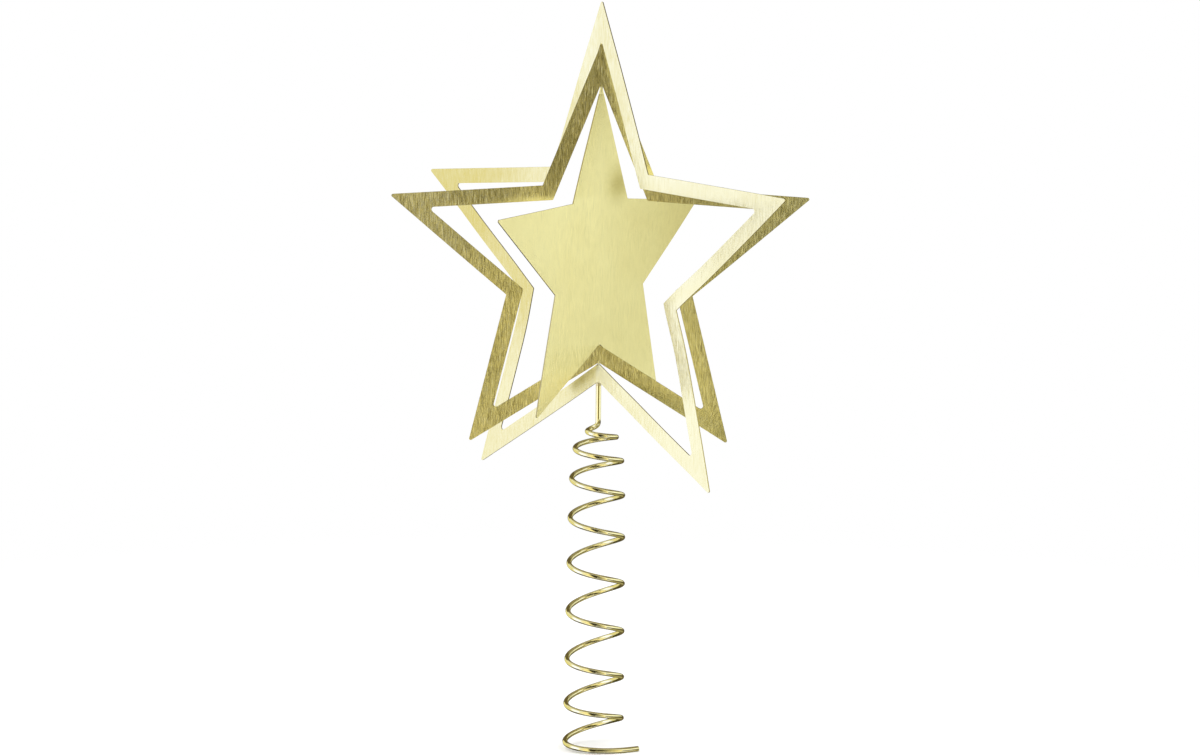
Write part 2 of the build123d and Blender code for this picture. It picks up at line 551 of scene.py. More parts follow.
@dataclass(frozen=True)
class Corner:
    """Finish of one corner: its cut, its radius or width, and how far a notch goes in."""

    cut: Cut
    size: float
    depth: float = 0.0


@dataclass(frozen=True)
class StarPattern:
    """Cutting pattern that the three nested stars share, flat and about their centre."""

    points: int = 5
    tip_radius: float = 0.101
    notch_share: float = 0.4416
    bar_width: float = 0.0058
    cut_gap: float = 0.0003
    thickness: float = 0.0005
    tip_round: float = 0.0006
    opening_round: float = 0.001
    notch_round: float = 0.00025
    seat_width: float = 0.002  # flat in the outer star's crotch, where the wire meets it
    tab_width: float = 0.0007
    tab_root_width: float = 0.0026
    tab_clearance: float = 0.00005
    tab_relief: float = 0.0006
    corner_steps: int = 6
    edge_steps: int = 48

    @property
    def half_step(self) -> float:
        """Angle between a tip and the notch beside it, in radians."""
        return math.pi / self.points

    @property
    def tip_slope(self) -> float:
        """Fall of a tip's edge for each unit across."""
        across = self.notch_share * math.sin(self.half_step)
        return (1 - self.notch_share * math.cos(self.half_step)) / across

    @property
    def crotch_slope(self) -> float:
        """Fall of the lowest notch's edge for each unit across."""
        return (math.cos(self.half_step) - self.notch_share) / math.sin(self.half_step)

    @property
    def bar_radius(self) -> float:
        """What the tip circle loses across one bar."""
        return self.bar_width * math.hypot(1, self.tip_slope)

    @property
    def gap_radius(self) -> float:
        """What the tip circle loses across the cutter's slit."""
        return self.cut_gap * math.hypot(1, self.tip_slope)

    @property
    def outer_opening(self) -> float:
        """Tip circle of the outer star's opening."""
        return self.tip_radius - self.bar_radius

    @property
    def middle_tip(self) -> float:
        """Tip circle of the middle star."""
        return self.outer_opening - self.gap_radius

    @property
    def middle_opening(self) -> float:
        """Tip circle of the middle star's opening."""
        return self.middle_tip - self.bar_radius

    @property
    def inner_tip(self) -> float:
        """Tip circle of the inner star."""
        return self.middle_opening - self.gap_radius

    @property
    def tab_flat(self) -> float:
        """Width of the flat that a tab stands on."""
        return self.tab_width + 2 * self.tab_clearance

    def outer_outline(self) -> list[Vector]:
        """Outline of the whole blank."""
        return self.outline(self.tip_radius, self.tip_round, None, Corner(Cut.FLAT, self.seat_width))

    def carried_outline(self, radius: float) -> list[Vector]:
        """Outline of a star that hangs in an opening."""
        top = Corner(Cut.FLAT, self.tab_root_width)
        crotch = Corner(Cut.NOTCHED, self.tab_flat, self.tab_relief)
        return self.outline(radius, self.tip_round, top, crotch)

    def opening_outline(self, radius: float) -> list[Vector]:
        """Outline of a frame's opening."""
        flat = Corner(Cut.FLAT, self.tab_flat)
        return self.outline(radius, self.opening_round, flat, flat)

    def outline(
        self, radius: float, tip_round: float, top: Corner | None, crotch: Corner
    ) -> list[Vector]:
        """Points round a star, as many on each corner and edge as on any other star.

        Args:
            radius: Tip circle of the star.
            tip_round: Rounding of its tips.
            top: Finish of its top tip, where that isn't rounded as the others are.
            crotch: Finish of its lowest notch.

        Returns:
            Points as (across, up) about the star's centre, clockwise from the top tip.
        """
        count = 2 * self.points
        corners = []
        finishes = []
        for step in range(count):
            angle = math.pi / 2 - self.half_step * step
            is_tip = step % 2 == 0
            reach = radius if is_tip else radius * self.notch_share
            corners.append(Vector((reach * math.cos(angle), reach * math.sin(angle))))
            finishes.append(Corner(Cut.ROUND, tip_round if is_tip else self.notch_round))
        finishes[0] = top or finishes[0]
        finishes[self.points] = crotch
        bends = []
        for step in range(count):
            before, after = corners[step - 1], corners[(step + 1) % count]
            bends.append(self._bend(before, corners[step], after, finishes[step]))
        points = []
        for step in range(count):
            points += bends[step]
            start, end = bends[step][-1], bends[(step + 1) % count][0]
            points += [start.lerp(end, share / self.edge_steps) for share in range(1, self.edge_steps)]
        return points

    def _bend(self, before: Vector, corner: Vector, after: Vector, finish: Corner) -> list[Vector]:
        """Points round one corner.

        Args:
            before: The corner before this one.
            corner: The sharp corner.
            after: The corner after it.
            finish: How the corner is finished.

        Returns:
            The points, one more than corner_steps.
        """
        back = (before - corner).normalized()
        onward = (after - corner).normalized()
        shares = [step / self.corner_steps for step in range(self.corner_steps + 1)]
        if finish.cut is Cut.ROUND:
            half = back.angle(onward) / 2
            run = finish.size / math.tan(half)
            centre = corner + (back + onward).normalized() * (finish.size / math.sin(half))
            start = corner + back * run - centre
            end = corner + onward * run - centre
            return [centre + start.slerp(end, share).normalized() * finish.size for share in shares]
        start = corner + back * (finish.size / 2 / abs(back.x))
        end = corner + onward * (finish.size / 2 / abs(onward.x))
        if finish.cut is Cut.FLAT:
            return [start.lerp(end, share) for share in shares]
        roof = corner.y + finish.depth
        turns = [start, Vector((start.x, roof)), Vector((end.x, roof)), end]
        steps = self.corner_steps // (len(turns) - 1)
        points = [start]
        for first, second in zip(turns, turns[1:]):
            points += [first.lerp(second, share / steps) for share in range(1, steps + 1)]
        return points


@dataclass(frozen=True)
class Wave:
    """Gentle wave that a star keeps from being cut and turned out of its sheet."""

    height: float
    across: float  # wavelength across the star
    up: float  # wavelength up the star
    phase: float

    def offset(self, across: float, up: float) -> float:
        """How far the sheet stands behind its plane at a place on the star."""
        return self.height * math.sin(FULL_TURN * (across / self.across + up / self.up) + self.phase)


@dataclass(frozen=True)
class LegBend:
    """A leg of a star that was pushed out of the sheet's plane."""

    direction: float  # of the leg, about the star's centre
    start: float  # distance from the centre where the bend begins
    length: float  # of the bend
    slope: float  # of the leg past the bend

    def offset(self, across: float, up: float) -> float:
        """How far the sheet stands behind its plane at a place on the star."""
        angle = math.radians(self.direction)
        past = across * math.cos(angle) + up * math.sin(angle) - self.start
        bent = min(max(past, 0.0), self.length)
        return self.slope * (bent**2 / (2 * self.length) + max(past - self.length, 0.0))


@dataclass(frozen=True)
class Bulge:
    """Round place of a star that was pushed out of the sheet's plane."""

    across: float
    up: float
    reach: float
    depth: float  # behind the plane at its centre

    def offset(self, across: float, up: float) -> float:
        """How far the sheet stands behind its plane at a place on the star."""
        away = math.hypot(across - self.across, up - self.up) / self.reach
        return self.depth * math.exp(-(away**2))


@dataclass(frozen=True)
class PaintedShadeSpot:
    """Soft place on a star where darker reflections are painted into the sheet's colour."""

    across: float
    up: float
    reach: float
    depth: float

    def shade(self, across: float, up: float) -> float:
        """Share of painted shade at a place on the star."""
        away = math.hypot(across - self.across, up - self.up) / self.reach
        return self.depth * math.exp(-(away**2))


@dataclass
class StarSheet:
    """One star: a thin sheet between its outline and its opening, turned about the upright axis."""

    name: str
    node: str
    body: str
    angle: float
    height: float  # of the star's centre
    outline: list[Vector]
    opening: list[Vector] | None
    material: bpy.types.Material
    thickness: float
    waves: Sequence[Wave] = ()
    pushes: Sequence[LegBend | Bulge] = ()
    # painted shade spots: darker places that stand in for reflections
    marks: Sequence[PaintedShadeSpot] = ()
    calm_reach: float = 0.014  # the sheet stays flat this near to the axis, where the tabs hold it
    rings: int = 5
    hub_share: float = 0.06  # of a whole star's outline, where its rings end in one flat face
    slope_step: float = 0.00001
    edge_bevel: float = 0.00004
    bevel_segments: int = 2
    bevel_angle: float = 75.0
    sharp_angle: float = 15.0
    rim_angle: float = 60.0  # faces turned further than this from the sheet are its cut edge

    def build(self) -> bpy.types.Object:
        """Makes the star, dresses it and sets it on its body."""
        star = add_object(self.name, self._sheet())
        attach(star, self.body)
        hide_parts(self.node)
        return star

    def _offset(self, across: float, up: float) -> float:
        """How far the sheet stands behind its plane at a place on the star."""
        calm = min(abs(across) / self.calm_reach, 1.0)
        waved = sum(wave.offset(across, up) for wave in self.waves) * calm**2 * (3 - 2 * calm)
        return waved + sum(push.offset(across, up) for push in self.pushes)

    def _place(self, flat: Vector, lift: float) -> Vector:
        """Point of the sheet.

        Args:
            flat: Place on the flat pattern.
            lift: How far the point lies behind the middle of the sheet, square to it.

        Returns:
            The point, with the star turned and at its height.
        """
        behind = self._offset(flat.x, flat.y)
        across_slope = (self._offset(flat.x + self.slope_step, flat.y) - behind) / self.slope_step
        up_slope = (self._offset(flat.x, flat.y + self.slope_step) - behind) / self.slope_step
        square = Vector((-across_slope, 1.0, -up_slope)).normalized()
        point = Vector((flat.x, behind, flat.y)) + square * lift
        return Matrix.Rotation(math.radians(self.angle), 3, "Z") @ point + Vector((0.0, 0.0, self.height))

    def _solid(self) -> bpy.types.Mesh:
        """Closed sheet with sharp edges, as rings of faces from the outline inwards on both sides."""
        count = len(self.outline)
        inside = self.opening or [point * self.hub_share for point in self.outline]
        points = []
        for lift in (-self.thickness / 2, self.thickness / 2):
            for ring in range(self.rings + 1):
                share = ring / self.rings
                points += [self._place(a.lerp(b, share), lift) for a, b in zip(self.outline, inside)]
        back = (self.rings + 1) * count
        last = self.rings * count
        faces = []
        for side in range(count):
            after = (side + 1) % count
            for ring in range(self.rings):
                out, inn = ring * count, (ring + 1) * count
                front = (inn + side, inn + after, out + after, out + side)
                faces.append(front)
                faces.append(tuple(back + corner for corner in reversed(front)))
            faces.append((side, after, back + after, back + side))
            if self.opening:
                faces.append((last + after, last + side, back + last + side, back + last + after))
        if not self.opening:
            hub = tuple(reversed(range(last, last + count)))
            faces += [hub, tuple(back + corner for corner in reversed(hub))]
        mesh = bpy.data.meshes.new(self.name)
        mesh.from_pydata(points, [], faces)
        return mesh

    def _sheet(self) -> bpy.types.Mesh:
        """Closed mesh of the sheet, with broken edges and its cut edges marked."""
        holder = add_object(self.name, self._solid())
        bevel = holder.modifiers.new("broken edges", "BEVEL")
        bevel.width = self.edge_bevel
        bevel.segments = self.bevel_segments
        bevel.limit_method = "ANGLE"
        bevel.angle_limit = math.radians(self.bevel_angle)
        mesh = plain_mesh(holder)
        bpy.data.objects.remove(holder)
        mesh.materials.append(self.material)
        mesh.shade_smooth()
        mesh.set_sharp_from_angle(angle=math.radians(self.sharp_angle))
        self._mark(mesh)
        return mesh

    def _mark(self, mesh: bpy.types.Mesh) -> None:
        """Marks each point's place on the flat sheet, its painted shade and the faces of the cut edge."""
        angle = math.radians(self.angle)
        flat = Matrix.Rotation(-angle, 3, "Z")
        spots = [((flat @ vertex.co).x, vertex.co.z) for vertex in mesh.vertices]
        places = mesh.attributes.new(BrushedSheet.place_attribute, "FLOAT_VECTOR", "POINT")
        for item, (across, up) in zip(places.data, spots):
            item.vector = (across, 0.0, up)
        # Painted shade: how dark each point is painted by the shade spots
        tarnish = mesh.attributes.new(BrushedSheet.painted_shade_attribute, "FLOAT", "POINT")
        for item, (across, up) in zip(tarnish.data, spots):
            item.value = sum(mark.shade(across, up - self.height) for mark in self.marks)
        square = Vector((-math.sin(angle), math.cos(angle), 0.0))
        limit = math.cos(math.radians(self.rim_angle))
        marks = mesh.attributes.new(BrushedSheet.edge_attribute, "FLOAT", "FACE")
        for face in mesh.polygons:
            marks.data[face.index].value = float(abs(face.normal.dot(square)) < limit)


@dataclass(frozen=True)
class TabEnd:
    """One end of a twist tab."""

    body: str
    height: float
    width: float
    angle: float


@dataclass
class TwistTab:
    """Strip left between two stars, twisted where one was turned out of the other."""

    name: str
    node: str
    low: TabEnd
    high: TabEnd
    frame_body: str  # body of the star that holds the other
    twist: tuple[float, float]  # shares of the height where the twist starts and ends
    material: bpy.types.Material
    thickness: float
    root: float = 0.00012  # how far each end runs into its star
    slimming: float = 0.00002  # keeps the root's faces just inside the star's

    ENDS = ("Low Height", "High Height", "Low Width", "High Width", "Low Angle", "High Angle")
    SHAPE = ("Twist Start", "Twist End", "Thickness")
    GRID = {"Vertices X": 9, "Vertices Y": 4, "Vertices Z": 41}

    @classmethod
    def tree(cls) -> GeometryTree:
        """Tree that twists a bar about the upright axis."""
        tree = GeometryTree("twist_tab", (*cls.ENDS, *cls.SHAPE))
        bar = tree.add("GeometryNodeMeshCube", None, cls.GRID, "Mesh")
        place = tree.add("GeometryNodeInputPosition")
        x = tree.add("ShaderNodeSeparateXYZ", None, {0: place})
        share = x.beside("Z") + 0.5
        width = tree.input("Low Width").toward(tree.input("High Width"), share)
        start, end = tree.input("Twist Start"), tree.input("Twist End")
        turned = ((share - start) / (end - start)).eased()
        angle = tree.input("Low Angle").toward(tree.input("High Angle"), turned)
        height = tree.input("Low Height").toward(tree.input("High Height"), share)
        across = x * width
        behind = x.beside("Y") * tree.input("Thickness")
        cos, sin = angle.cos(), angle.sin()
        twisted = tree.join(across * cos - behind * sin, across * sin + behind * cos, height)
        settings = {"data_type": "FLOAT_VECTOR", "domain": "POINT"}
        flat = tree.join(across, 0.0, height)
        mark = {"Geometry": bar, "Name": BrushedSheet.place_attribute, "Value": flat}
        marked = tree.add("GeometryNodeStoreNamedAttribute", settings, mark)
        bent = tree.add("GeometryNodeSetPosition", None, {"Geometry": marked, "Position": twisted})
        tree.close(bent)
        return tree

    def build(self, tree: GeometryTree) -> bpy.types.Object:
        """Makes the tab, dresses it and lets it twist between its two stars."""
        values = {
            "Low Height": self.low.height - self.root,
            "High Height": self.high.height + self.root,
            "Twist Start": self.twist[0],
            "Twist End": self.twist[1],
            "Thickness": self.thickness - self.slimming,
            "Finish": self.material,
        }
        for side, end in (("Low", self.low), ("High", self.high)):
            values[f"{side} Width"] = end.width
            values[f"{side} Angle"] = math.radians(end.angle)
        mesh = tree.mesh(self.name, values)
        mesh.set_sharp_from_angle(angle=CREASE)
        tab = add_object(self.name, mesh)
        first, second = self.low, self.high
        if second.body == self.frame_body:
            first, second = second, first
        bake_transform(tab, first.body, second.body, start=(0, 0, first.height), end=(0, 0, second.height))
        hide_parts(self.node)
        return tab


@dataclass
class WireCoil:
    """Open left-handed coil that the wire runs into below the stem."""

    material: bpy.types.Material
    stem_foot: float  # height where the stem ends and the coil's piece begins
    foot: float  # height where the wire starts to bend
    name: str = "wire_coil"
    node: str = "coil_spring"
    wire_radius: float = 0.001
    turns: float = 8.57
    start_angle: float = 66.0
    top_radius: float = 0.00967
    mouth_radius: float = 0.0109
    opening_turns: float = 0.64
    softened_turns: float = 0.25  # over which the wire leaves the stem's line
    stem_pitch: float = 0.0021
    widest_pitch: float = 0.0188
    turns_to_widest: float = 5.28
    crank_height: float = 0.0038
    crank_turns: float = 0.3
    lean_height: float = 0.00144
    lean_angle: float = -33.7
    drift: float = 0.00085  # how far the mouth has sprung to the left
    tail_drop: float = 0.0004
    tail_radius: float = 0.03
    tail_length: float = 0.018
    tail_slope: float = 0.07  # of the last turn, where the tail begins
    lead_pitch: float = 0.02  # fall of the straight start for each turn of the count
    points_per_turn: int = 128
    sides: int = 32

    MEASURES = (
        "foot", "lead_turns", "lead_pitch", "turns", "top_radius", "mouth_radius", "opening_turns",
        "softened_turns", "stem_pitch", "widest_pitch", "turns_to_widest", "crank_height", "crank_turns",
        "lean_height", "drift", "tail_drop", "tail_radius", "tail_slope", "wire_radius",
    )
    ANGLES = ("start_angle", "lean_angle")
    COUNTS = ("points_per_turn", "points", "sides")

    @property
    def lead_turns(self) -> float:
        """Turns of the count that the straight start takes."""
        return (self.stem_foot - self.foot) / self.lead_pitch

    @property
    def tail_turns(self) -> float:
        """Turns of the count that the tail takes."""
        return self.tail_length / (FULL_TURN * self.mouth_radius)

    @property
    def points(self) -> int:
        """Points along the wire."""
        return math.ceil((self.lead_turns + self.turns + self.tail_turns) * self.points_per_turn) + 1

    def sizes(self) -> dict[str, Any]:
        """Value of each named input of the tree, with angles in radians."""
        values = {input_label(size): getattr(self, size) for size in self.MEASURES + self.COUNTS}
        angles = {input_label(size): math.radians(getattr(self, size)) for size in self.ANGLES}
        return values | angles

    def tree(self) -> GeometryTree:
        """Tree that winds a wire down from the stem, turn by turn."""
        floats = [input_label(size) for size in self.MEASURES + self.ANGLES]
        tree = GeometryTree("wire_coil", floats, [input_label(size) for size in self.COUNTS])
        size = tree.input
        index = tree.add("GeometryNodeInputIndex")
        count = index / size("Points Per Turn") - size("Lead Turns")
        turn = count.most(0.0).least(size("Turns"))
        share = turn / size("Turns")
        angle = size("Start Angle") + FULL_TURN * turn

        # Fall of the wire, with the crank under the stem and the lean of the lower turns
        widest = size("Turns To Widest")
        narrowing = (size("Widest Pitch") - size("Stem Pitch")) * widest / 3.0
        fall = size("Widest Pitch") * turn - narrowing * ((turn / widest - 1.0) ** 3.0 + 1.0)
        crank = 1.0 - (turn / size("Crank Turns")).least(1.0)
        fall = fall + size("Crank Height") * (1.0 - crank * crank)
        lean = size("Lean Height") * share * (angle - size("Lean Angle")).cos()
        lead = size("Lead Pitch") * (-count).most(0.0)

        # Tail that leaves the last turn on a wider arc and settles flat
        run = FULL_TURN * size("Mouth Radius") * (count - size("Turns")).most(0.0)
        turned = run / size("Tail Radius")
        onward = size("Tail Radius") * turned.sin()
        inward = size("Tail Radius") * (1.0 - turned.cos())
        settled = size("Tail Drop") * (1.0 - (-run * size("Tail Slope") / size("Tail Drop")).exp())

        opened = 1.0 - (-turn / size("Opening Turns")).exp()
        full_radius = size("Top Radius").toward(size("Mouth Radius"), share)
        radius = full_radius * opened * (turn / size("Softened Turns")).eased() - inward
        cos, sin = angle.cos(), angle.sin()
        place = tree.join(
            radius * cos - onward * sin - size("Drift") * share,
            radius * sin + onward * cos,
            size("Foot") + lead - fall + lean - settled,
        )
        line = tree.add("GeometryNodeCurvePrimitiveLine")
        points = tree.add("GeometryNodeResampleCurve", None, {"Curve": line, "Count": size("Points")})
        path = tree.add("GeometryNodeSetPosition", None, {"Geometry": points, "Position": place})
        ring = {"Resolution": size("Sides"), "Radius": size("Wire Radius")}
        section = tree.add("GeometryNodeCurvePrimitiveCircle", None, ring)
        sweep = {"Curve": path, "Profile Curve": section, "Fill Caps": True}
        wire = tree.add("GeometryNodeCurveToMesh", None, sweep)
        tree.close(wire)
        return tree

    def build(self) -> bpy.types.Object:
        """Makes the coil, dresses it and lets it stretch between its mouth and the stem."""
        mesh = self.tree().mesh(self.name, {**self.sizes(), "Finish": self.material})
        mesh.set_sharp_from_angle(angle=CREASE)
        coil = add_object(self.name, mesh)
        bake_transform(coil, "coil_body", "stem_body", start=(0, 0, 2 * self.wire_radius), end=(0, 0, self.foot))
        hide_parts(self.node)
        return coil


@dataclass
class WireStem:
    """Straight top of the wire, between the coil and the outer star."""

    material: bpy.types.Material
    foot: float
    top: float
    name: str = "wire_stem"
    node: str = "stem"
    wire_radius: float = 0.001
    end_round: float = 0.00045
    rings: int = 24
    round_rings: int = 6
    sides: int = 28

    def build(self) -> bpy.types.Object:
        """Makes the stem, dresses it and lets it bend between the coil and the star."""
        straight = self.top - self.end_round
        profile = [
            (self.wire_radius, self.foot + (straight - self.foot) * ring / self.rings)
            for ring in range(self.rings + 1)
        ]
        for ring in range(1, self.round_rings + 1):
            angle = math.pi / 2 * ring / self.round_rings
            radius = self.wire_radius - self.end_round * (1 - math.cos(angle))
            profile.append((radius, straight + self.end_round * math.sin(angle)))
        stem = add_object(self.name, lathe(self.name, profile, self.sides, self.material))
        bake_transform(stem, "stem_body", "outer_body", start=(0, 0, self.foot), end=(0, 0, self.top))
        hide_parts(self.node)
        return stem


@dataclass
class BrazeBead:
    """Braze that ran into the corner between the wire and the outer star."""

    material: bpy.types.Material
    top: float
    name: str = "braze_fillet"
    node: str = "braze_bead"
    wire_radius: float = 0.001
    clearance: float = 0.00005
    reach: float = 0.00012  # beyond the wire, at the top
    flare_power: int = 3  # how late the fillet flares out to its reach
    height: float = 0.0011
    rings: int = 8
    sides: int = 28

    def build(self) -> bpy.types.Object:
        """Makes the bead, dresses it and sets it on the outer star."""
        inside = self.wire_radius + self.clearance
        profile = [(inside, self.top - self.height)]
        for ring in range(1, self.rings + 1):
            share = ring / self.rings
            radius = inside + self.reach * share**self.flare_power
            profile.append((radius, self.top - self.height * (1 - share)))
        bead = add_object(self.name, lathe(self.name, profile, self.sides, self.material))
        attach(bead, "outer_body")
        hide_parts(self.node)
        return bead


@dataclass(frozen=True)
class Card:
    """Plain sheet beside the stage that only the metal sees."""

    name: str
    centre: Point
    facing: Point
    width: float
    height: float
    stops: Stops  # shares of its width, from its left edge, and their colours
    rise: Stops = ((0.0, (1.0, 1.0, 1.0)),)  # shares of its height, and their tints

    def build(self) -> None:
        """Hangs the card so that it faces its point."""
        x, y = self.width / 2, self.height / 2
        mesh = bpy.data.meshes.new(self.name)
        mesh.from_pydata([(-x, -y, 0), (x, -y, 0), (x, y, 0), (-x, y, 0)], [], [(0, 1, 2, 3)])
        material, graph = new_material(self.name)
        place = graph.add("ShaderNodeTexCoord", None, None, "Object")
        across = graph.add("ShaderNodeSeparateXYZ", None, {0: place})
        up = across.beside("Y")
        colour = graph.add("ShaderNodeValToRGB", {"stops": self.stops}, {"Fac": across / self.width + 0.5})
        tint = graph.add("ShaderNodeValToRGB", {"stops": self.rise}, {"Fac": up / self.height + 0.5})
        colour = graph.mix(1.0, colour, tint, "MULTIPLY")
        glow = graph.add("ShaderNodeEmission", None, {"Color": colour, "Strength": 1.0})
        graph.add("ShaderNodeOutputMaterial", None, {"Surface": glow})
        mesh.materials.append(material)
        card = add_object(self.name, mesh)
        aim = Vector(self.facing) - Vector(self.centre)
        card.matrix_world = Matrix.Translation(self.centre) @ aim.to_track_quat("Z", "Y").to_matrix().to_4x4()
        card.visible_camera = False
        card.visible_diffuse = False
        card.visible_shadow = False


@dataclass(frozen=True)
class Lamp:
    """Soft lamp over the stage."""

    name: str
    place: Point
    target: Point
    size: float
    power: float

    def build(self) -> None:
        """Hangs the lamp so that it faces its target."""
        light = bpy.data.lights.new(self.name, "AREA")
        light.shape = "DISK"
        light.size = self.size
        light.energy = self.power
        lamp = bpy.data.objects.new(self.name, light)
        bpy.context.scene.collection.objects.link(lamp)
        lamp.visible_glossy = False
        lamp.location = self.place
        aim = Vector(self.target) - Vector(self.place)
        lamp.rotation_euler = aim.to_track_quat("-Z", "Y").to_euler()


@dataclass
class Studio:
    """White surroundings, a pale floor, soft lamps and the cards that the brass reflects."""

    cards: Sequence[Card]
    lamps: Sequence[Lamp]
    floor_radius: float = 0.5
    floor_fade: float = 0.3  # share of the radius over which the floor runs out into the white
    floor_white: Colour = (0.93, 0.93, 0.92)
    floor_sides: int = 96

    def build(self) -> None:
        """Sets up the world, the floor, the cards and the lamps."""
        scene = bpy.context.scene
        scene.view_settings.view_transform = "Standard"
        self._world(scene)
        self._floor()
        for item in (*self.cards, *self.lamps):
            item.build()

    @staticmethod
    def _world(scene: bpy.types.Scene) -> None:
        """White all round, at the level of plain daylight."""
        scene.world = bpy.data.worlds.new("white_surroundings")
        scene.world.use_nodes = True
        graph = NodeGraph(scene.world.node_tree)
        white = graph.add("ShaderNodeBackground", None, {"Color": (1.0, 1.0, 1.0, 1.0), "Strength": 1.0})
        graph.add("ShaderNodeOutputWorld", None, {"Surface": white})

    def _floor(self) -> None:
        """Pale disc under the coil that keeps its shadow."""
        turn = FULL_TURN / self.floor_sides
        rim = [
            (self.floor_radius * math.cos(turn * side), self.floor_radius * math.sin(turn * side), 0.0)
            for side in range(self.floor_sides)
        ]
        mesh = bpy.data.meshes.new("floor")
        mesh.from_pydata(rim, [], [tuple(range(self.floor_sides))])
        material, graph = new_material("floor_paper")
        place = graph.add("ShaderNodeTexCoord", None, None, "Object")
        length = graph.add("ShaderNodeVectorMath", {"operation": "LENGTH"}, {0: place}, "Value")
        out = ((length / self.floor_radius - 1.0) / self.floor_fade + 1.0).eased()
        paper = graph.add("ShaderNodeBsdfDiffuse", None, {"Color": (*self.floor_white, 1.0)})
        clear = graph.add("ShaderNodeBsdfTransparent")
        faded = graph.add("ShaderNodeMixShader", None, {"Fac": out, 1: paper, 2: clear})
        graph.add("ShaderNodeOutputMaterial", None, {"Surface": faded})
        mesh.materials.append(material)
        floor = add_object("floor", mesh)
        floor.visible_glossy = False


@dataclass(frozen=True)
class Viewpoint:
    """The photograph's view of the topper."""

    target: Point = (0.00053, 0.0, 0.14453)
    distance: float = 1.5003
    elevation: float = 7.121
    roll: float = 0.552
    lens: float = 117.618  # millimetres, on the sensor below
    sensor: float = 36.0

    def build(self) -> None:
        """Sets up the camera and makes it the scene's own."""
        lift, roll = math.radians(self.elevation), math.radians(self.roll)
        back = Vector((0.0, -math.cos(lift), math.sin(lift)))
        level = Vector((1.0, 0.0, 0.0))
        upright = Vector((0.0, math.sin(lift), math.cos(lift)))
        right = level * math.cos(roll) + upright * math.sin(roll)
        up = upright * math.cos(roll) - level * math.sin(roll)
        data = bpy.data.cameras.new("photograph_view")
        data.lens = self.lens
        data.sensor_fit = "HORIZONTAL"
        data.sensor_width = self.sensor
        camera = bpy.data.objects.new("photograph_view", data)
        bpy.context.scene.collection.objects.link(camera)
        turn = Matrix((right, up, back)).transposed().to_4x4()
        camera.matrix_world = Matrix.Translation(Vector(self.target) + back * self.distance) @ turn
        bpy.context.scene.camera = camera


